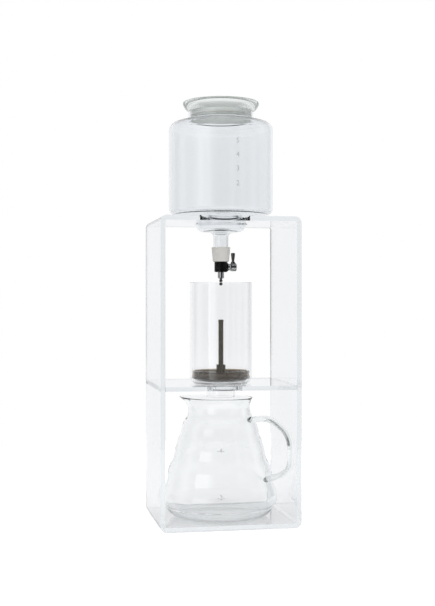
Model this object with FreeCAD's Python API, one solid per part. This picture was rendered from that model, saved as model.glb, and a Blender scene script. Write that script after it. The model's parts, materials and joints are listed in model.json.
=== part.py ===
import FreeCAD, Part
import math
import os

V = FreeCAD.Vector
UP = V(0, 0, 1)
ORIGIN = V(0, 0, 0)

# Running and resting clearances
seat_gap = 0.3
running_gap = 0.05

# Stand: one bent acrylic sheet with a shelf glued between its sides
stand_width = 160.0
stand_depth = 130.0
stand_height = 350.4
sheet = 5.5
bend_radius = 7.5
shelf_top = 160.5
shelf_sheet = 5.0
jar_hole_radius = 31.0
column_hole_radius = 21.0

# Water jar, heights above the top of the stand
jar_radius = 60.6
jar_wall = 2.0
jar_heel_rise = 5.2
jar_heel_radius = 7.0
jar_shoulder_height = 112.6
jar_shoulder_radius = 10.0
jar_shoulder_slope = 3.6
jar_neck_radius = 37.9
jar_mouth_height = 125.5
jar_bowl_radius = 29.4
jar_bowl_depth = 14.8
jar_bowl_corner = 9.0
outlet_radius = 8.9
outlet_flare = 4.0
outlet_length = 44.4
funnel_seam = 4.4

# Lid: a cup-shaped stopper with a flange that rests on the jar's mouth
lid_flange_radius = 44.5
lid_flange_height = 10.8
lid_plug_depth = 8.8
lid_wall = 2.6
lid_floor = 2.4
lid_ring_radius = 0.9

# Outlet stopper of soft rubber, and the black drip valve below it
stopper_top_radius = 10.9
stopper_end_radius = 9.4
stopper_length = 17.0
stopper_overlap = 12.0
spigot_radius = 4.6
spigot_bore = 2.6
spigot_length = 9.0
barb_height = 0.5
valve_radius = 7.6
valve_length = 12.0
valve_bore = 2.2
stopcock_drop = 6.2
plug_radius = 3.4
plug_reach = 4.4
stem_radius = 1.7
gland_radius = 4.0
gland_seat = 2.4
gland_end = 10.2
washer_thickness = 0.8
head_radius = 4.9
head_end = 18.2
head_edge = 0.8
lever_x = 14.4
lever_foot_radius = 1.5
lever_tip_radius = 2.4
lever_reach = 16.6
seal_section = 0.6
nozzle_radius = 3.7
nozzle_length = 8.2
nozzle_taper = 1.4
nozzle_thread_radius = 2.9
nozzle_thread_length = 1.9
nozzle_bore = 0.9
drip_tube_radius = 1.3
drip_tube_length = 7.6
drip_bead_radius = 2.0
drip_bore = 0.5

# Coffee column, heights above the shelf
column_radius = 36.1
column_wall = 1.8
column_height = 116.3
column_corner = 6.0
column_neck_radius = 17.0
column_neck_fillet = 3.5

# Filter that stands inside the column
filter_radius = 33.2
filter_height = 11.8
filter_lip_height = 2.2
filter_foot_radius = 29.0
filter_foot_rise = 3.4
filter_wall = 2.0
filter_rim_height = 2.4
filter_windows = 12
filter_window_gap = 2.2
filter_floor = 1.4
filter_spokes = 6
spoke_width = 2.0
mesh_thickness = 0.5
hub_radius = 3.8
hub_height = 18.6
fin_reach = 5.8
fin_thickness = 1.6
fins = 4
rod_radius = 2.9
rod_height = 71.0
rod_socket_depth = 10.0
rod_cap_height = 2.4

# Jug, heights above the base sheet; the profile is in shares of the belly's radius and the rim's height
jug_x = -1.5
jug_wall = 2.0
jug_side_gap = 7.3
jug_headroom = 12.5
neck_over_jug = 0.5
jug_belly_radius = stand_width / 2 - sheet - jug_side_gap
jug_rim_height = shelf_top - shelf_sheet - sheet - jug_headroom
column_neck_length = shelf_sheet + jug_headroom - neck_over_jug
jug_foot_share = 0.714
jug_heel = (0.842, 0.026, 0.935, 0.085)
jug_waves = [
    (0.995, 0.145), (0.978, 0.220), (0.928, 0.285), (0.904, 0.340),
    (0.892, 0.395), (0.850, 0.450), (0.806, 0.492), (0.786, 0.540),
    (0.762, 0.595), (0.718, 0.650), (0.679, 0.695), (0.661, 0.735),
    (0.643, 0.772), (0.594, 0.818),
]
# Mouth: radius, height and how much of the spout has grown there
jug_mouth = [
    (0.594, 0.818, 0.00),
    (0.562, 0.842, 0.00),
    (0.541, 0.869, 0.04),
    (0.528, 0.898, 0.14),
    (0.524, 0.927, 0.32),
    (0.536, 0.960, 0.60),
    (0.574, 1.000, 1.00),
]
jug_spout_share = 0.18
jug_spout_narrow = 12
jug_spout_angle = 143.0
mouth_points = 36

# Jug handle, in shares of its reach and the rim's height
handle_angle = -40.0
handle_thickness = 7.0
handle_width = 12.0
handle_side_gap = 1.2
handle_reach = (stand_width / 2 - sheet - handle_side_gap - jug_x
                - math.hypot(handle_thickness / 2 * math.cos(math.radians(handle_angle)),
                             handle_width / 2 * math.sin(math.radians(handle_angle)))
                ) / math.cos(math.radians(handle_angle))
handle_roots = [(0.43, 0.822), (0.66, 0.335)]
handle_bends = [
    (0.72, 0.850, 0.33),
    (1.00, 0.713, 0.28),
    (1.00, 0.451, 0.16),
    (0.87, 0.380, 0.33),
]


def path(start, *steps):
    """Edges in the XZ plane: (r, z) is a line, (r1, z1, r2, z2) an arc through a point"""
    here = V(start[0], 0, start[1])
    edges = []
    for step in steps:
        end = V(step[-2], 0, step[-1])
        if len(step) == 2:
            edges.append(Part.LineSegment(here, end).toShape())
        else:
            edges.append(Part.Arc(here, V(step[0], 0, step[1]), end).toShape())
        here = end
    return edges


def rounded(corners):
    """Open wire through (r, z, radius) corners, each rounded by a tangent arc"""
    points = [V(c[0], 0, c[1]) for c in corners]
    edges = []
    here = points[0]
    for i in range(1, len(points) - 1):
        back = (points[i - 1] - points[i]).normalize()
        ahead = (points[i + 1] - points[i]).normalize()
        half = back.getAngle(ahead) / 2
        trim = corners[i][2] / math.tan(half)
        first = points[i] + back * trim
        last = points[i] + ahead * trim
        centre = points[i] + (back + ahead).normalize() * (corners[i][2] / math.sin(half))
        middle = centre + (points[i] - centre).normalize() * corners[i][2]
        edges.append(Part.LineSegment(here, first).toShape())
        edges.append(Part.Arc(first, middle, last).toShape())
        here = last
    edges.append(Part.LineSegment(here, points[-1]).toShape())
    return Part.Wire(edges)


def revolved(face):
    return face.revolve(ORIGIN, UP, 360)


def turned(start, *steps):
    """Solid of revolution about Z from a closed outline"""
    edges = path(start, *steps, start)
    return revolved(Part.Face(Part.Wire(edges)))


def along_x(shape, z):
    """Lay a solid made about Z down along X at height z"""
    shape = shape.copy()
    shape.rotate(ORIGIN, V(0, 1, 0), 90)
    shape.translate(V(0, 0, z))
    return shape


def lifted(shape, z):
    shape = shape.copy()
    shape.translate(V(0, 0, z))
    return shape


def rod(radius, z0, z1):
    return Part.makeCylinder(radius, z1 - z0, V(0, 0, z0))


def torus(ring_radius, section, z):
    return Part.makeTorus(ring_radius, section, V(0, 0, z))


def ring_groove(shaft_radius, section, z):
    """Square groove in a shaft for a round seal that ends flush with the shaft"""
    low, high = z - section, z + section
    return rod(shaft_radius + section, low, high).cut(rod(shaft_radius - 2 * section, low, high))


# Stand

def stand_shell():
    outer = Part.makeBox(stand_width, stand_depth, stand_height, V(-stand_width / 2, -stand_depth / 2, 0))
    inner = Part.makeBox(stand_width - 2 * sheet, stand_depth, stand_height - 2 * sheet,
                         V(-stand_width / 2 + sheet, -stand_depth / 2, sheet))
    bends = [e for e in outer.Edges if abs(e.Vertexes[0].Y - e.Vertexes[-1].Y) > stand_depth / 2]
    outer = outer.makeFillet(bend_radius, bends)
    bends = [e for e in inner.Edges if abs(e.Vertexes[0].Y - e.Vertexes[-1].Y) > stand_depth / 2]
    inner = inner.makeFillet(bend_radius - sheet, bends)
    return outer.cut(inner).cut(rod(jar_hole_radius, stand_height - 2 * sheet, stand_height + sheet))


def middle_shelf():
    inside = stand_width - 2 * sheet
    shelf = Part.makeBox(inside, stand_depth, shelf_sheet,
                         V(-inside / 2, -stand_depth / 2, shelf_top - shelf_sheet))
    return shelf.cut(rod(column_hole_radius, shelf_top - 2 * shelf_sheet, shelf_top + shelf_sheet))


# Water jar

def jar_outline():
    neck_base = jar_shoulder_height + jar_shoulder_slope
    return rounded([
        (outlet_radius, -outlet_length),
        (outlet_radius, -jar_bowl_depth - 1.8, outlet_flare),
        (jar_bowl_radius, -jar_bowl_depth + 1.0, jar_bowl_corner),
        (jar_bowl_radius, seat_gap + 0.2, 0.6),
        (jar_radius, jar_heel_rise + 0.8, jar_heel_radius),
        (jar_radius, jar_shoulder_height - 2.0, jar_shoulder_radius),
        (jar_neck_radius, neck_base, 1.6),
        (jar_neck_radius, jar_mouth_height),
    ])


def jar_wall_between(low, high):
    """The jar's glass between two heights above the stand"""
    wall = jar_outline().makeOffset2D(jar_wall, 0, True, True)
    return lifted(revolved(wall).common(rod(2 * jar_radius, low, high)), stand_height)


def jar_glass():
    return jar_wall_between(-funnel_seam, 2 * jar_mouth_height)


def jar_funnel():
    """Bowl and outlet tube, fused to the jar where the top sheet hides the seam"""
    return jar_wall_between(-2 * outlet_length, -funnel_seam)


def lid_outline_radius():
    return jar_neck_radius - jar_wall - seat_gap


def jar_lid():
    plug = lid_outline_radius()
    top = jar_mouth_height + lid_flange_height
    rest = jar_mouth_height + seat_gap
    bottom = jar_mouth_height - lid_plug_depth
    cup = plug - lid_wall
    body = turned(
        (0, bottom), (plug - 1.0, bottom), (plug - 0.3, bottom + 0.3, plug, bottom + 1.0),
        (plug, rest), (jar_neck_radius, rest),
        (lid_flange_radius - 1.6, rest + 0.42 * lid_flange_height, lid_flange_radius, top - 1.6),
        (lid_flange_radius - 0.5, top - 0.4, lid_flange_radius - 1.8, top),
        (cup + 1.2, top), (cup + 0.35, top - 0.35, cup, top - 1.2),
        (cup, bottom + lid_floor + 1.5), (cup - 0.44, bottom + lid_floor + 0.44, cup - 1.5, bottom + lid_floor),
        (0, bottom + lid_floor))
    groove = ring_groove(plug, lid_ring_radius, jar_mouth_height - lid_plug_depth / 2)
    return lifted(body.cut(groove), stand_height)


def lid_ring():
    section = lid_ring_radius - running_gap
    ring = torus(lid_outline_radius() - section, section, jar_mouth_height - lid_plug_depth / 2)
    return lifted(ring, stand_height)


# Stopper and valve, hung from the jar's outlet

outlet_end = stand_height - outlet_length
stopper_top = outlet_end + stopper_overlap
stopper_bottom = stopper_top - stopper_length
valve_top = stopper_bottom
valve_bottom = valve_top - valve_length
stopcock_z = valve_top - stopcock_drop


def outlet_stopper():
    body = turned((0, stopper_bottom), (stopper_end_radius - 0.8, stopper_bottom),
                  (stopper_end_radius, stopper_bottom + 0.8),
                  (stopper_top_radius - 0.2, stopper_top - 2.6),
                  (stopper_top_radius, stopper_top - 1.0),
                  (stopper_top_radius - 0.3, stopper_top - 0.3, stopper_top_radius - 1.0, stopper_top),
                  (0, stopper_top))
    socket = rod(outlet_radius + running_gap, outlet_end - seat_gap, stopper_top + 1)
    bore = rod(spigot_radius, stopper_bottom - 1, outlet_end)
    return body.cut(socket).cut(bore)


def inlet_spigot():
    low = valve_top - spigot_bore
    top = valve_top + spigot_length
    body = rod(spigot_radius - barb_height, low, top)
    body = body.fuse(rod(spigot_radius, valve_top, valve_top + 2.0))
    barbs = 2
    pitch = (spigot_length - 3.0) / barbs
    for i in range(barbs):
        foot = valve_top + 3.0 + i * pitch
        body = body.fuse(Part.makeCone(spigot_radius, spigot_radius - barb_height, pitch,
                                       V(0, 0, foot)))
    return body.cut(rod(spigot_bore, low - 1, top + 1)).removeSplitter()


def valve_body():
    edge = 0.7
    body = turned((0, valve_bottom), (valve_radius - edge, valve_bottom), (valve_radius, valve_bottom + edge),
                  (valve_radius, valve_top - edge), (valve_radius - edge, valve_top), (0, valve_top))
    boss = along_x(rod(gland_radius + 0.9, 0, valve_radius + 0.6), stopcock_z)
    body = body.fuse(boss)
    body = body.cut(rod(spigot_radius - barb_height, valve_top - spigot_bore, valve_top + 1))
    body = body.cut(rod(valve_bore, stopcock_z, valve_top))
    body = body.cut(rod(nozzle_thread_radius, valve_bottom - 1, valve_bottom + nozzle_thread_length))
    body = body.cut(rod(nozzle_bore, valve_bottom, stopcock_z))
    body = body.cut(along_x(rod(plug_radius + running_gap, -plug_reach - running_gap, plug_reach + gland_seat),
                            stopcock_z))
    return body.cut(along_x(rod(gland_radius - 1.0, plug_reach + running_gap, valve_radius + 2), stopcock_z))


def stopcock_plug():
    body = rod(plug_radius, -plug_reach, plug_reach)
    body = body.fuse(rod(stem_radius, plug_reach, head_end - 2.0))
    for side in (-1, 1):
        body = body.cut(ring_groove(plug_radius, seal_section, side * (plug_reach - 1.2)))
    body = along_x(body, stopcock_z)
    return body.cut(rod(nozzle_bore, stopcock_z - plug_radius - 1, stopcock_z + plug_radius + 1))


def plug_seals():
    section = seal_section - running_gap
    rings = [along_x(torus(plug_radius - section, section, side * (plug_reach - 1.2)), stopcock_z)
             for side in (-1, 1)]
    return Part.makeCompound(rings)


def gland_nut():
    body = rod(gland_radius - 1.0, plug_reach + 2 * running_gap, valve_radius + 0.6)
    flats = Part.makeCylinder(gland_radius, gland_end - valve_radius - 0.6, V(0, 0, valve_radius + 0.6))
    body = body.fuse(flats).cut(rod(stem_radius + running_gap, 0, gland_end + 1))
    return along_x(body.removeSplitter(), stopcock_z)


def thrust_washer():
    ring = rod(gland_radius - 0.4, gland_end, gland_end + washer_thickness)
    return along_x(ring.cut(rod(stem_radius + running_gap, 0, head_end)), stopcock_z)


def lever_head():
    start = gland_end + washer_thickness
    body = turned((0, start), (head_radius - head_edge, start), (head_radius, start + head_edge),
                  (head_radius, head_end - head_edge), (head_radius - head_edge, head_end), (0, head_end))
    body = body.cut(rod(stem_radius, 0, head_end - 2.0))
    body = along_x(body, stopcock_z)
    return body.cut(Part.makeCylinder(lever_foot_radius, head_radius + 1, V(lever_x, 0, stopcock_z + stem_radius)))


def lever():
    foot = stem_radius
    neck = head_radius + 2.2
    tip = lever_reach
    pin = turned((0, foot), (lever_foot_radius, foot), (lever_foot_radius, neck),
                 (lever_tip_radius, tip - 2.2), (lever_tip_radius, tip - 0.9),
                 (lever_tip_radius - 0.3, tip - 0.3, lever_tip_radius - 0.9, tip), (0, tip))
    collar = rod(lever_foot_radius + 0.9, head_radius, head_radius + 1.4)
    return pin.fuse(collar).removeSplitter().translated(V(lever_x, 0, stopcock_z))


def nozzle():
    low = valve_bottom - nozzle_length
    body = turned((0, low), (drip_tube_radius + 0.5, low), (nozzle_radius, low + nozzle_taper),
                  (nozzle_radius, valve_bottom), (nozzle_thread_radius, valve_bottom),
                  (nozzle_thread_radius, valve_bottom + nozzle_thread_length),
                  (0, valve_bottom + nozzle_thread_length))
    body = body.cut(rod(nozzle_bore, valve_bottom - 2.0, valve_bottom + nozzle_thread_length + 1))
    return body.cut(rod(drip_tube_radius, low - 1, valve_bottom - 2.0))


def drip_tip():
    top = valve_bottom - 2.0
    seat = valve_bottom - nozzle_length
    low = seat - drip_tube_length
    body = rod(drip_tube_radius, low + 1.0, top)
    for centre in (seat - 1.9, low + drip_bead_radius):
        body = body.fuse(Part.makeSphere(drip_bead_radius, V(0, 0, centre)))
    return body.cut(rod(drip_bore, low - 1, top + 1))


# Coffee column

def column_glass():
    wire = rounded([
        (column_neck_radius, -column_neck_length),
        (column_neck_radius, 0, column_neck_fillet),
        (column_radius, 0, column_corner),
        (column_radius, column_height),
    ])
    wall = wire.makeOffset2D(column_wall, 0, True, True)
    return lifted(revolved(wall), shelf_top)


# Filter

filter_base = shelf_top + column_wall + seat_gap


def filter_frame():
    lip = filter_base + filter_foot_rise
    top = filter_base + filter_height
    bore = filter_radius - filter_wall
    outer = turned((0, filter_base), (filter_foot_radius, filter_base), (filter_radius + 0.7, lip),
                   (filter_radius + 0.7, lip + filter_lip_height), (filter_radius, lip + filter_lip_height + 0.6),
                   (filter_radius, top), (0, top))
    inside = turned((0, filter_base + filter_floor), (filter_foot_radius - 1.5, filter_base + filter_floor),
                    (bore, lip), (bore, top + 1), (0, top + 1))
    frame = outer.cut(inside)
    # windows in the floor leave the spokes, and windows in the wall leave the posts
    floor_cut = rod(filter_foot_radius - 4.0, filter_base - 1, filter_base + filter_floor + 1)
    floor_cut = floor_cut.cut(rod(hub_radius + 2.6, filter_base - 2, filter_base + filter_floor + 2))
    for i in range(filter_spokes):
        spoke = Part.makeBox(filter_radius, spoke_width, 4 * filter_floor,
                             V(0, -spoke_width / 2, filter_base - filter_floor))
        spoke.rotate(ORIGIN, UP, i * 360 / filter_spokes)
        floor_cut = floor_cut.cut(spoke)
    frame = frame.cut(floor_cut)
    low = lip + filter_lip_height + 0.8
    high = top - filter_rim_height
    pitch = 2 * math.pi * filter_radius / filter_windows
    for i in range(filter_windows):
        window = Part.makeBox(filter_wall * 3, pitch - filter_window_gap, high - low,
                              V(bore - filter_wall, -(pitch - filter_window_gap) / 2, low))
        window.rotate(ORIGIN, UP, (i + 0.5) * 360 / filter_windows)
        frame = frame.cut(window)
    return frame


def filter_mesh():
    lip = filter_base + filter_foot_rise
    top = filter_base + filter_height - filter_rim_height / 2
    bore = filter_radius - filter_wall
    floor = filter_base + filter_floor
    return turned((hub_radius, floor), (filter_foot_radius - 1.5, floor), (bore, lip), (bore, top),
                  (bore - mesh_thickness, top), (bore - mesh_thickness, lip + 0.2),
                  (filter_foot_radius - 1.7, floor + mesh_thickness), (hub_radius, floor + mesh_thickness))


def filter_hub():
    top = filter_base + hub_height
    body = rod(hub_radius, filter_base + filter_floor, top)
    for i in range(fins):
        fin = Part.makeBox(fin_reach, fin_thickness, hub_height - filter_floor - mesh_thickness,
                           V(0, -fin_thickness / 2, filter_base + filter_floor + mesh_thickness))
        fin.rotate(ORIGIN, UP, 45 + i * 360 / fins)
        body = body.fuse(fin)
    return body.cut(rod(rod_radius, top - rod_socket_depth, top + 1)).removeSplitter()


rod_foot = filter_base + hub_height - rod_socket_depth
rod_top = filter_base + rod_height


def filter_rod():
    return rod(rod_radius, rod_foot, rod_top - rod_cap_height)


def rod_cap():
    low = rod_top - rod_cap_height
    return turned((0, low), (rod_radius + 0.2, low), (rod_radius + 0.2, rod_top - 0.8),
                  (rod_radius - 0.1, rod_top - 0.2, rod_radius - 0.8, rod_top), (0, rod_top))


# Jug

def jug_at(*shares):
    """Radii and heights from shares of the belly's radius and the rim's height, in turn"""
    units = (jug_belly_radius, jug_rim_height)
    return tuple(share * units[i % 2] for i, share in enumerate(shares))


def jug_outline(inset):
    """Profile from the middle of the base up to where the mouth starts; inset gives the inside"""
    foot = jug_at(jug_foot_share, 0)
    heel = jug_at(*jug_heel)
    wave = Part.BSplineCurve()
    wave.interpolate(Points=[V(*heel[2:], 0)] + [V(*jug_at(*point), 0) for point in jug_waves])
    steps = 4 * len(jug_waves)
    low, high = wave.FirstParameter, wave.LastParameter
    inside = []
    for i in range(steps + 1):
        at = low + (high - low) * i / steps
        along = wave.tangent(at)[0]
        point = wave.value(at) + V(-along.y, along.x, 0) * inset
        inside.append(V(point.x, 0, point.y))
    side = Part.BSplineCurve()
    side.interpolate(Points=inside)
    bottom = path((0, inset), (foot[0], inset), (heel[0] - 0.6 * inset, heel[1] + 0.8 * inset,
                                                   inside[0].x, inside[0].z))
    return Part.Wire(bottom + [side.toShape()])


def mouth_ring(radius, height, reach):
    """Round outline at a height, drawn out by reach towards the spout"""
    if not reach:
        return Part.Wire(Part.makeCircle(radius, V(0, 0, height)))
    points = []
    for i in range(mouth_points):
        angle = 2 * math.pi * i / mouth_points
        r = radius + reach * math.cos(angle / 2) ** (2 * jug_spout_narrow)
        points.append(V(r * math.cos(angle), r * math.sin(angle), height))
    ring = Part.BSplineCurve()
    ring.interpolate(Points=points, PeriodicFlag=True)
    return Part.Wire(ring.toShape())


def jug_filled(outline, inset, overrun):
    """Body turned from a profile wire, with the throat, lip and spout lofted on top of it"""
    ends = sorted((v.Point for v in outline.OrderedVertexes), key=lambda point: point.z)
    low, high = ends[0], ends[-1]
    closing = [Part.LineSegment(high, V(0, 0, high.z)).toShape(),
               Part.LineSegment(V(0, 0, high.z), V(0, 0, low.z)).toShape()]
    body = revolved(Part.Face(Part.Wire(outline.Edges + closing)))
    rings = [mouth_ring(high.x, high.z, 0)]
    for radius, height, grown in jug_mouth[1:]:
        radius, height = jug_at(radius, height)
        rings.append(mouth_ring(radius - inset, height, grown * jug_spout_share * jug_belly_radius))
    body = body.fuse(Part.makeLoft(rings, True, False))
    if overrun:
        body = body.fuse(Part.Face(rings[-1]).extrude(UP * overrun))
    body = body.removeSplitter()
    body.rotate(ORIGIN, UP, jug_spout_angle)
    return body


def jug_body():
    body = jug_filled(jug_outline(0), 0, 0).cut(jug_filled(jug_outline(jug_wall), jug_wall, jug_wall))
    return body.translated(V(jug_x, 0, sheet))


def jug_handle():
    """Flattened glass loop, swept along straight runs and tangent arcs"""
    units = (handle_reach, jug_rim_height, handle_reach)
    stops = [tuple(share * unit for share, unit in zip(stop, units))
             for stop in (handle_roots[0], *handle_bends, handle_roots[1])]
    spine = rounded(stops)
    start = spine.OrderedVertexes[0].Point
    heading = spine.OrderedEdges[0].tangentAt(spine.OrderedEdges[0].FirstParameter)
    section = Part.Ellipse(ORIGIN, handle_width / 2, handle_thickness / 2).toShape()
    section.rotate(ORIGIN, UP, 90)
    section.Placement = FreeCAD.Placement(start, FreeCAD.Rotation(UP, heading)).multiply(section.Placement)
    loop = Part.Wire(spine.OrderedEdges).makePipeShell([Part.Wire(section)], True, False)
    loop.rotate(ORIGIN, UP, handle_angle)
    return loop.cut(jug_filled(jug_outline(0), 0, 0)).translated(V(jug_x, 0, sheet))


NODES = {
    "stand_shell": stand_shell,
    "middle_shelf": middle_shelf,
    "jar_glass": jar_glass,
    "jar_funnel": jar_funnel,
    "jar_lid": jar_lid,
    "lid_ring": lid_ring,
    "outlet_stopper": outlet_stopper,
    "inlet_spigot": inlet_spigot,
    "valve_body": valve_body,
    "stopcock_plug": stopcock_plug,
    "plug_seals": plug_seals,
    "gland_nut": gland_nut,
    "thrust_washer": thrust_washer,
    "lever_head": lever_head,
    "lever": lever,
    "nozzle": nozzle,
    "drip_tip": drip_tip,
    "column_glass": column_glass,
    "filter_frame": filter_frame,
    "filter_mesh": filter_mesh,
    "filter_hub": filter_hub,
    "filter_rod": filter_rod,
    "rod_cap": rod_cap,
    "jug_body": jug_body,
    "jug_handle": jug_handle,
}

os.makedirs("parts", exist_ok=True)
for name, make in NODES.items():
    solid = make()
    box = solid.BoundBox
    print(f"{name:16s} solids {len(solid.Solids)} valid {solid.isValid()} volume {solid.Volume:10.1f} "
          f"x {box.XMin:7.2f} {box.XMax:7.2f} y {box.YMin:7.2f} {box.YMax:7.2f} "
          f"z {box.ZMin:7.2f} {box.ZMax:7.2f}")
    solid.exportStep(f"parts/{name}.step")
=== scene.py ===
"""Looks of a cold drip coffee tower: clear acrylic stand, lidded water jar with its drip valve,
coffee column with a lift-out filter, and a waved glass jug."""

import json
import math

import bmesh
import bpy
from mathutils import Matrix, Vector
from mathutils.bvhtree import BVHTree


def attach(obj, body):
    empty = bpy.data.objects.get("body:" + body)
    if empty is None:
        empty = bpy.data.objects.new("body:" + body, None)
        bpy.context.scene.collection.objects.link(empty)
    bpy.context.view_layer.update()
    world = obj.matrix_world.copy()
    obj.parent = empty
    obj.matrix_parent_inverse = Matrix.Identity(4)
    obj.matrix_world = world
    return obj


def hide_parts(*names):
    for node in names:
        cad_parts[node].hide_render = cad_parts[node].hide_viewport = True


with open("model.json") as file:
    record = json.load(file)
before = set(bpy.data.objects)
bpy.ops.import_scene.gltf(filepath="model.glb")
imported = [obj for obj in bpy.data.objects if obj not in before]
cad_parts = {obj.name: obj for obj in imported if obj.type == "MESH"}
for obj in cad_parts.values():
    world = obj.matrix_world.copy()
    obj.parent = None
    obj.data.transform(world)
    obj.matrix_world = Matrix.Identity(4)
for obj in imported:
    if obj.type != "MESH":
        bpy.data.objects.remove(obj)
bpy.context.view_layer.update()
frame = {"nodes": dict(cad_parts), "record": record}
nodes = frame["nodes"]
body_of = {node: body for body, members in frame["record"]["behaviour"]["bodies"].items()
           for node in members}

MM = 0.001

# Millimetres, where blown glass and printed marks meet the CAD nodes
stand_top = 350.4
shelf_top = 160.5
resting_gap = 0.1
bay_width = 149
bonded_shelf_width = 149.4
jug_x = -1.5

# Outside of each blown piece, in millimetres: radius, height above what carries it and, where
# the corner is round, its radius
jar_corners = [(8.9, -44.4), (8.9, -16.6, 4.0), (29.4, -13.8, 9.0), (29.4, 0.5, 0.6),
               (60.6, 6.0, 7.0), (60.6, 110.6, 10.0), (37.9, 116.2, 1.6), (37.9, 125.5)]
jar_wall = 2.0
column_corners = [(17.0, -17.0), (17.0, 0.0, 3.5), (36.1, 0.0, 6.0), (36.1, 116.3)]
column_wall = 1.8

# Facets and edges: distance of merged points in metres, rim of the jug in millimetres
same_point = 1e-6
corner_facets = 10
turn_facets = 144
rim_facets = 3
crease_angle = math.radians(38)
rim_angle = math.radians(60)
rim_share_of_wall = 0.3
jug_rim_width = 0.6

# Printed figures with their heights in millimetres, and their angles about the axis in degrees
# from X
jar_marks = (("5", 434.7), ("4", 419.1), ("3", 403.5), ("2", 386.8))
jar_mark_size = 8.0
jar_mark_angle = -82.6
jug_marks = (("4", 87.0), ("2", 36.7))
jug_mark_size = 7.2
jug_mark_angle = -99.2
ink_thickness = 0.02
ink_above_glass = 0.12


class Wire:
    """A shader socket that can stand in a sum, so that masks are written as expressions"""

    def __init__(self, finish, socket):
        self.finish = finish
        self.socket = socket

    def _math(self, operation, a, b=None):
        values = {0: a} if b is None else {0: a, 1: b}
        return self.finish.node("ShaderNodeMath", {"operation": operation}, values)

    def __add__(self, other):
        return self._math("ADD", self, other)

    def __radd__(self, other):
        return self._math("ADD", other, self)

    def __sub__(self, other):
        return self._math("SUBTRACT", self, other)

    def __rsub__(self, other):
        return self._math("SUBTRACT", other, self)

    def __mul__(self, other):
        return self._math("MULTIPLY", self, other)

    def power(self, other):
        return self._math("POWER", self, other)

    def size(self):
        return self._math("ABSOLUTE", self)

    def sine(self):
        return self._math("SINE", self)

    def larger(self, other):
        return self._math("MAXIMUM", self, other)

    def turn(self, other):
        """Angle whose tangent is this over the other"""
        return self._math("ARCTAN2", self, other)

    def ramp(self, low, high, to_low=0.0, to_high=1.0):
        """Smooth step from to_low at low to to_high at high"""
        settings = {"interpolation_type": "SMOOTHSTEP"}
        return self.finish.node("ShaderNodeMapRange", settings,
                                {"Value": self, "From Min": low, "From Max": high,
                                 "To Min": to_low, "To Max": to_high})


class Finish:
    """One node tree, of a material or of the world"""

    def __init__(self, owner):
        self.owner = owner
        owner.use_nodes = True
        self.tree = owner.node_tree
        self.tree.nodes.clear()

    def node(self, kind, settings=None, values=None, output=0):
        made = self.tree.nodes.new(kind)
        for name, value in (settings or {}).items():
            setattr(made, name, value)
        for name, value in (values or {}).items():
            self.feed(made.inputs[name], value)
        return Wire(self, made.outputs[output]) if made.outputs else made

    def feed(self, socket, value):
        if isinstance(value, Wire):
            self.tree.links.new(value.socket, socket)
        elif socket.type == "RGBA":
            socket.default_value = (*value, 1.0)
        else:
            socket.default_value = value

    def place(self):
        return self.node("ShaderNodeTexCoord", output="Object")

    def axes(self, vector):
        return [self.node("ShaderNodeSeparateXYZ", values={0: vector}, output=axis)
                for axis in "XYZ"]

    def noise(self, scale, detail=2.0, stretch=(1, 1, 1)):
        spot = self.node("ShaderNodeMapping", values={"Vector": self.place(), "Scale": stretch})
        return self.node("ShaderNodeTexNoise",
                         values={"Vector": spot, "Scale": scale, "Detail": detail})

    def blend(self, factor, first, second):
        """Mix of two colours"""
        return self.node("ShaderNodeMix", {"data_type": "RGBA"},
                         {0: factor, 6: first, 7: second}, output=2)

    def bump(self, height, strength, distance):
        return self.node("ShaderNodeBump", values={"Height": height, "Strength": strength,
                                                   "Distance": distance})

    def skin(self, **values):
        """Principled surface, its inputs named with underscores for spaces"""
        return self.node("ShaderNodeBsdfPrincipled",
                         values={name.replace("_", " "): value for name, value in values.items()})


def darker(shade, share):
    return tuple(part * share for part in shade)


def finished(name, build):
    """Material whose surface, and inside if it has one, come from build(finish)"""
    finish = Finish(bpy.data.materials.new(name))
    surface, inside = build(finish)
    links = {"Surface": surface}
    if inside is not None:
        links["Volume"] = inside
    finish.node("ShaderNodeOutputMaterial", values=links)
    return finish.owner


def lamps_through(finish, shell, share):
    """The shell, but lamps reach a share of their light through it"""
    through = finish.node("ShaderNodeBsdfTransparent", values={"Color": (share, share, share)})
    lamp = finish.node("ShaderNodeLightPath", output="Is Shadow Ray")
    return finish.node("ShaderNodeMixShader", values={0: lamp, 1: shell, 2: through})


def absorbing(finish, inside, density):
    return finish.node("ShaderNodeVolumeAbsorption", values={"Color": inside, "Density": density})


def clear(finish, tint, ior, inside, density, rough=0.0, soil=0.01):
    """Clear body: each surface takes the tint, and long paths in it turn to the colour inside"""
    marks = finish.noise(45, detail=4.0, stretch=(1, 1, 0.4))
    haze = finish.noise(9, detail=1.0)
    shell = finish.skin(
        Base_Color=finish.blend(haze.ramp(0.4, 0.7), tint, darker(tint, 0.985)),
        Roughness=marks.ramp(0.62, 0.8, rough, soil),
        IOR=ior,
        Transmission_Weight=1.0)
    return lamps_through(finish, shell, share=0.96), absorbing(finish, inside, density)


acrylic_ior = 1.49
glass_ior = 1.474


def acrylic(finish):
    return clear(finish, (0.89, 0.90, 0.91), acrylic_ior,
                 inside=(0.72, 0.80, 0.84), density=1.2, soil=0.012)


def jar_clear_glass(finish):
    return clear(finish, (0.945, 0.955, 0.965), glass_ior,
                 inside=(0.52, 0.56, 0.58), density=34.0)


def column_clear_glass(finish):
    return clear(finish, (0.99, 0.99, 0.992), glass_ior,
                 inside=(0.52, 0.56, 0.55), density=16.0)


def jug_clear_glass(finish):
    return clear(finish, (0.982, 0.986, 0.99), glass_ior,
                 inside=(0.52, 0.60, 0.56), density=18.0)


def smoke_brown(finish):
    return clear(finish, (0.50, 0.44, 0.34), 1.5,
                 inside=(0.36, 0.30, 0.21), density=190.0, rough=0.06, soil=0.2)


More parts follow.
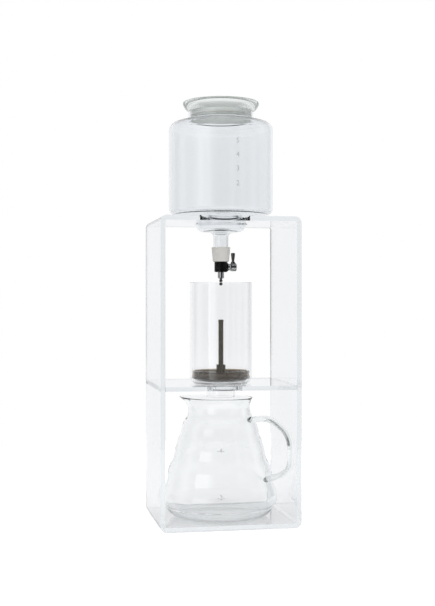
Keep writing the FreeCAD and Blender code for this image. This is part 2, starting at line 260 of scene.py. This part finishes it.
def lid_clear(finish):
    """Clear lid whose plug carries a milky soft sleeve inside the jar's mouth"""
    plug_side = (0.0362, 0.0370)
    sleeve_top = (0.4835, 0.4850)
    sleeve_foot = (0.4755, 0.4780)
    x, y, z = finish.axes(finish.place())
    radius = (x * x + y * y).power(0.5)
    cloud = finish.noise(140, detail=3.0)
    sleeve = (1 - radius.ramp(*plug_side)) * (1 - z.ramp(*sleeve_top))
    milk = finish.blend(z.ramp(*sleeve_foot), (0.84, 0.87, 0.83), (0.60, 0.65, 0.62))
    shell = finish.skin(
        Base_Color=finish.blend(sleeve * cloud.ramp(0.2, 0.8, 0.85, 1.0),
                                (0.97, 0.98, 0.97), milk),
        Roughness=sleeve.ramp(0, 1, 0.01, 0.38),
        IOR=acrylic_ior,
        Transmission_Weight=1.0)
    return (lamps_through(finish, shell, share=0.93),
            absorbing(finish, inside=(0.55, 0.62, 0.58), density=14.0))


def soft_white(finish, shade=(0.66, 0.645, 0.61), rough=0.5):
    """Silicone: milky, with moulding dust and faint mottling"""
    cloud = finish.noise(160, detail=3.0)
    dust = finish.noise(1400, detail=2.0)
    return finish.skin(
        Base_Color=finish.blend(cloud, shade, darker(shade, 0.93)),
        Roughness=cloud.ramp(0.3, 0.7, rough, rough + 0.12),
        Subsurface_Weight=0.25,
        Subsurface_Radius=(1.0, 0.9, 0.8),
        Subsurface_Scale=0.002,
        Normal=finish.bump(dust, strength=0.15, distance=0.0002)), None


def seal_white(finish):
    return soft_white(finish, (0.80, 0.79, 0.76), 0.4)


def valve_black(finish):
    """Glass-filled nylon: near black and satin, with a fine moulded grain and faint swirls"""
    grain = finish.noise(2600, detail=3.0)
    swirl = finish.noise(260, detail=2.0, stretch=(1, 1, 3))
    return finish.skin(
        Base_Color=finish.blend(swirl.ramp(0.5, 0.75),
                                (0.003, 0.003, 0.003), (0.010, 0.010, 0.011)),
        Roughness=grain.ramp(0.3, 0.7, 0.28, 0.42),
        IOR=1.38,
        Specular_IOR_Level=0.2,
        Normal=finish.bump(grain, strength=0.3, distance=0.0001)), None


def plated(finish, shade, rough):
    """Turned and plated metal: fine rings from the tool along X, faint spots"""
    waves_to_the_metre = 21000
    along = finish.axes(finish.place())[0]
    rings = (along * waves_to_the_metre).sine() * 0.5 + 0.5
    spots = finish.noise(420, detail=4.0)
    return finish.skin(
        Base_Color=finish.blend(spots.ramp(0.45, 0.75), shade, darker(shade, 0.8)),
        Metallic=1.0,
        Roughness=spots.ramp(0.35, 0.75, rough, rough + 0.14),
        Normal=finish.bump(rings, strength=0.04, distance=0.00005)), None


def chrome(finish):
    return plated(finish, (0.42, 0.42, 0.43), 0.07)


def dark_plate(finish):
    return plated(finish, (0.10, 0.095, 0.09), 0.22)


def rod_brown(finish):
    """Moulded rod and hub: dark brown grey with long flow lines"""
    flow = finish.noise(220, detail=3.0, stretch=(1, 1, 0.06))
    grain = finish.noise(1800, detail=2.0)
    return finish.skin(
        Base_Color=finish.blend(flow.ramp(0.35, 0.7), (0.075, 0.064, 0.045), (0.14, 0.125, 0.09)),
        Roughness=grain.ramp(0.3, 0.7, 0.3, 0.42),
        Normal=finish.bump(grain, strength=0.12, distance=0.0001)), None


def woven_nylon(finish):
    """Fine filter cloth: threads both ways about the axis and along it, with holes between"""
    threads_around, threads_along = 150, 9000
    x, y, z = finish.axes(finish.place())
    warp = (y.turn(x) * threads_around).sine().size()
    weft = (z * threads_along).sine().size()
    thread = warp.larger(weft).ramp(0.55, 0.85)
    return finish.skin(
        Base_Color=finish.blend(thread, (0.07, 0.06, 0.045), (0.24, 0.20, 0.155)),
        Roughness=thread.ramp(0, 1, 0.75, 0.5),
        Alpha=thread.ramp(0, 1, 0.45, 0.95),
        Normal=finish.bump(thread, strength=0.4, distance=0.0001)), None


def print_grey(finish):
    """Screen-printed marks: pale grey enamel, worn unevenly"""
    wear = finish.noise(900, detail=3.0)
    return finish.skin(
        Base_Color=finish.blend(wear.ramp(0.4, 0.8), (0.38, 0.39, 0.40), (0.50, 0.51, 0.52)),
        Roughness=wear.ramp(0.3, 0.8, 0.45, 0.6)), None


materials = {build.__name__: finished(build.__name__, build) for build in (
    acrylic, jar_clear_glass, column_clear_glass, jug_clear_glass, lid_clear, smoke_brown,
    soft_white, seal_white, valve_black, chrome, dark_plate, rod_brown, woven_nylon, print_grey)}

nodes_with = {
    "acrylic": ["stand_shell", "middle_shelf"],
    "jar_clear_glass": ["jar_glass", "jar_funnel"],
    "column_clear_glass": ["column_glass"],
    "jug_clear_glass": ["jug_body", "jug_handle"],
    "lid_clear": ["jar_lid"],
    "smoke_brown": ["filter_frame"],
    "soft_white": ["outlet_stopper"],
    "seal_white": ["lid_ring", "plug_seals", "thrust_washer"],
    "valve_black": ["inlet_spigot", "valve_body"],
    "chrome": ["stopcock_plug", "gland_nut", "lever_head", "nozzle"],
    "dark_plate": ["lever", "drip_tip"],
    "rod_brown": ["filter_hub", "filter_rod", "rod_cap"],
    "woven_nylon": ["filter_mesh"],
}
for finish_name, node_names in nodes_with.items():
    for node_name in node_names:
        nodes[node_name].data.materials.clear()
        nodes[node_name].data.materials.append(materials[finish_name])


# Blown glass, and copies that keep the faces of two clear pieces from lying in one plane

def placed(name, shape, finish_name, like, *stands_for):
    """Object from a bmesh, which rides on the body of a CAD node and hides the CAD nodes it
    stands for
    """
    data = bpy.data.meshes.new(name)
    for face in shape.faces:
        face.smooth = True
    shape.to_mesh(data)
    shape.free()
    data.set_sharp_from_angle(angle=crease_angle)
    data.materials.append(materials[finish_name])
    made = bpy.data.objects.new(name, data)
    bpy.context.scene.collection.objects.link(made)
    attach(made, body_of[like])
    if stands_for:
        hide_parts(*stands_for)
    return made


def melt_rims(piece, width):
    melt = piece.modifiers.new("melted rim", "BEVEL")
    melt.width = width * MM
    melt.segments = rim_facets
    melt.limit_method = "ANGLE"
    melt.angle_limit = rim_angle


def blown(name, corners, wall, lift, finish_name, *stands_for):
    """Glass of revolution from the corners of its outside, with melted rims"""
    shape = bmesh.new()
    points = [shape.verts.new((corner[0] * MM, 0, (corner[1] + lift) * MM)) for corner in corners]
    for pair in zip(points, points[1:]):
        shape.edges.new(pair)
    for point, corner in zip(points, corners):
        if len(corner) > 2:
            back, ahead = (edge.other_vert(point).co - point.co for edge in point.link_edges)
            bmesh.ops.bevel(shape, geom=[point], affect="VERTICES", segments=corner_facets,
                            offset=corner[2] * MM / math.tan(back.angle(ahead) / 2),
                            offset_type="OFFSET", profile=0.5, material=-1)
    bmesh.ops.spin(shape, geom=shape.verts[:] + shape.edges[:], cent=(0, 0, 0), axis=(0, 0, 1),
                   angle=2 * math.pi, steps=turn_facets, use_merge=True)
    bmesh.ops.remove_doubles(shape, verts=shape.verts, dist=same_point)
    bmesh.ops.recalc_face_normals(shape, faces=shape.faces)
    made = placed(name, shape, finish_name, stands_for[0], *stands_for)
    shell = made.modifiers.new("wall", "SOLIDIFY")
    shell.thickness, shell.offset, shell.use_even_offset = wall * MM, -1, True
    melt_rims(made, rim_share_of_wall * wall)
    made.modifiers.new("flat runs", "WEIGHTED_NORMAL").keep_sharp = True
    return made


def copy_of(node_name, widen=1.0, lift=0.0):
    """Merged bmesh of a CAD node, a little wider or higher"""
    shape = bmesh.new()
    shape.from_mesh(nodes[node_name].data)
    bmesh.ops.remove_doubles(shape, verts=shape.verts, dist=same_point)
    bmesh.ops.scale(shape, vec=(widen, 1, 1), verts=shape.verts)
    bmesh.ops.translate(shape, vec=(0, 0, lift * MM), verts=shape.verts)
    return shape


water_jar = blown("water_jar", jar_corners, jar_wall, stand_top, "jar_clear_glass",
                  "jar_glass", "jar_funnel")
blown("coffee_column", column_corners, column_wall, shelf_top + resting_gap,
      "column_clear_glass", "column_glass")
placed("bonded_shelf", copy_of("middle_shelf", widen=bonded_shelf_width / bay_width), "acrylic",
       "middle_shelf", "middle_shelf")
coffee_jug = placed("coffee_jug", copy_of("jug_body", lift=resting_gap), "jug_clear_glass",
                    "jug_body", "jug_body")
melt_rims(coffee_jug, jug_rim_width)


# Plain level marks, printed on the glass

def printed(name, on, like, words, size, axis_x, angle, height):
    """Flat figures laid on the outside of a piece, at an angle about its axis and a height, as
    seen from a point that is clear of every piece"""
    far_out = 0.2
    bpy.context.view_layer.update()
    surface = BVHTree.FromObject(on, bpy.context.evaluated_depsgraph_get())
    type_curve = bpy.data.curves.new(name, "FONT")
    type_curve.body, type_curve.size = words, size * MM
    type_curve.extrude = ink_thickness * MM
    type_curve.align_x, type_curve.align_y = "CENTER", "CENTER"
    type_curve.resolution_u = 4
    setting = bpy.data.objects.new(name + "_type", type_curve)
    flat = bpy.data.meshes.new_from_object(setting)
    shape = bmesh.new()
    shape.from_mesh(flat)
    bmesh.ops.remove_doubles(shape, verts=shape.verts, dist=same_point)
    axis = Vector((axis_x * MM, 0, 0))
    aim = Vector((math.cos(math.radians(angle)), math.sin(math.radians(angle)), 0))
    across = Vector((0, 0, 1)).cross(aim)
    for vert in shape.verts:
        side, up, rise = vert.co
        start = axis + aim * far_out + across * side + Vector((0, 0, height * MM + up))
        hit = surface.ray_cast(start, -aim)[0]
        vert.co = hit + aim * (ink_above_glass * MM + rise)
    bpy.data.objects.remove(setting)
    bpy.data.curves.remove(type_curve)
    bpy.data.meshes.remove(flat)
    return placed(name, shape, "print_grey", like)


for figure, height in jar_marks:
    printed(f"jar_mark_{figure}", water_jar, "jar_glass", figure,
            jar_mark_size, 0.0, jar_mark_angle, height)
for figure, height in jug_marks:
    printed(f"jug_mark_{figure}", coffee_jug, "jug_body", f"-{figure}-",
            jug_mark_size, jug_x, jug_mark_angle, height)


# Studio: a white room. What glass and metal see of it is darker than the page behind them

pure_white = (1, 1, 1)
room_white = (0.985, 0.99, 1.0)
floor_radius = 0.75
floor_drop = 0.0002
floor_facets = 96
floor_to_camera, floor_through_glass, floor_in_metal = 0.52, 0.28, 0.2

# Brightness of the room, where the page is 1: on dull surfaces, what glass loses of it in the
# darker zones, and what metal sees
dull_level = 0.8
corner_loss, far_corner_loss, behind_loss, overhead_loss = 0.5, 0.75, 0.75, 0.4
metal_level, backdrop_gain, window_gain, dark_side_loss = 0.5, 0.45, 2.1, 0.42


def ray_kinds(finish):
    """Masks of camera rays, mirrored rays and rays that crossed glass. The last count as glossy
    too, and are taken out of the mirrored ones"""
    seen, shiny, crossed = (finish.node("ShaderNodeLightPath", output=f"Is {kind} Ray")
                            for kind in ("Camera", "Glossy", "Transmission"))
    return seen, shiny * (1 - crossed), crossed


def floor_white(finish):
    seen, mirrored, crossed = ray_kinds(finish)
    tooth = finish.noise(60, detail=3.0)
    matte = finish.node("ShaderNodeBsdfDiffuse", values={
        "Color": finish.blend(tooth, (0.80, 0.80, 0.80), (0.78, 0.78, 0.78))})
    strength = seen * floor_to_camera + crossed * floor_through_glass + mirrored * floor_in_metal
    glow = finish.node("ShaderNodeEmission", values={
        "Color": finish.blend(seen, room_white, pure_white), "Strength": strength})
    return finish.node("ShaderNodeAddShader", values={0: matte, 1: glow}), None


floor_mesh = bmesh.new()
bmesh.ops.create_circle(floor_mesh, cap_ends=True, segments=floor_facets, radius=floor_radius,
                        matrix=Matrix.Translation((0, 0, -floor_drop)))
floor_data = bpy.data.meshes.new("floor")
floor_mesh.to_mesh(floor_data)
floor_mesh.free()
floor_data.materials.append(finished("floor_white", floor_white))
floor = bpy.data.objects.new("floor", floor_data)
bpy.context.scene.collection.objects.link(floor)


def band(value, middle, full, gone):
    """1 where the value is within full of the middle, 0 where it is gone or more away"""
    return 1 - (value - middle).size().ramp(full, gone)


def upright_band(turn, middle, full, gone):
    """Band of the room between upright lines, in degrees"""
    return band(turn, math.radians(middle), math.radians(full), math.radians(gone))


def beyond(turn, start, full):
    return turn.ramp(math.radians(start), math.radians(full))


def studio_room(finish):
    """World: white to the camera, a pale room with darker corners to glass, a harder room to
    metal. Turns are from +Y, about the way the camera looks, and z is that of a unit direction"""
    seen, mirrored, crossed = ray_kinds(finish)
    x, y, z = finish.axes(finish.node("ShaderNodeTexCoord", output="Generated"))
    turn = x.turn(y)
    aside = turn.size()
    behind = beyond(aside, start=138, full=155)

    corner = upright_band(aside, middle=62, full=6, gone=22)
    far_corner = upright_band(aside, middle=118, full=12, gone=30)
    dim = (corner * corner_loss).larger(far_corner * far_corner_loss).larger(behind * behind_loss)
    above_floor = z.ramp(-0.09, -0.03)
    overhead = z.ramp(0.30, 0.65)
    around_glass = 1 - dim * above_floor * (1 - overhead) - overhead * overhead_loss

    window = upright_band(turn, middle=-128, full=4, gone=38) * \
        band(z, middle=0.06, full=0.20, gone=0.34)
    backdrop = 1 - beyond(aside, start=70, full=125)
    high_or_low = z.ramp(0.34, 0.5) + 1 - z.ramp(-0.5, -0.3)
    around_metal = metal_level + backdrop * backdrop_gain + window * window_gain \
        - high_or_low.larger(behind) * dark_side_loss

    other = (1 - mirrored.larger(crossed)) * dull_level
    level = other + crossed * around_glass + mirrored * around_metal
    finish.node("ShaderNodeOutputWorld", values={
        "Surface": finish.node("ShaderNodeBackground", values={
            "Color": finish.blend(seen, room_white, pure_white),
            "Strength": seen + (1 - seen) * level})})


world = bpy.data.worlds.new("studio")
bpy.context.scene.world = world
studio_room(Finish(world))


def soft_lamp(name, place, aim, size, power):
    """Lamp that lights dull surfaces only, so that it isn't seen in glass or metal"""
    lamp = bpy.data.lights.new(name, "AREA")
    lamp.shape, lamp.size, lamp.energy = "DISK", size, power
    holder = bpy.data.objects.new(name, lamp)
    holder.location = place
    holder.rotation_euler = (Vector(aim) - Vector(place)).to_track_quat("-Z", "Y").to_euler()
    holder.visible_glossy = holder.visible_transmission = False
    bpy.context.scene.collection.objects.link(holder)


middle = (0, 0, 0.2)
soft_lamp("key", place=(-0.9, -1.0, 1.2), aim=middle, size=0.7, power=9)
soft_lamp("fill", place=(1.1, -0.8, 0.7), aim=middle, size=0.8, power=4)

# Camera, as fitted to the stand in the photo: turn to the right and nod down in degrees
camera_place = (-0.2504, -1.3001, 0.2571)
camera_turn = 10.73
camera_nod = 0.18
camera_data = bpy.data.cameras.new("camera")
camera_data.lens, camera_data.sensor_width, camera_data.sensor_fit = 67.40, 36.0, "AUTO"
camera_data.clip_start, camera_data.clip_end = 0.05, 50
camera = bpy.data.objects.new("camera", camera_data)
camera.location = camera_place
camera.rotation_euler = (math.radians(90 - camera_nod), 0, math.radians(-camera_turn))
bpy.context.scene.collection.objects.link(camera)
bpy.context.scene.camera = camera

scene = bpy.context.scene
scene.view_settings.view_transform = "Standard"
scene.cycles.max_bounces = 32
scene.cycles.transmission_bounces = 32
scene.cycles.glossy_bounces = 12
scene.cycles.transparent_max_bounces = 24
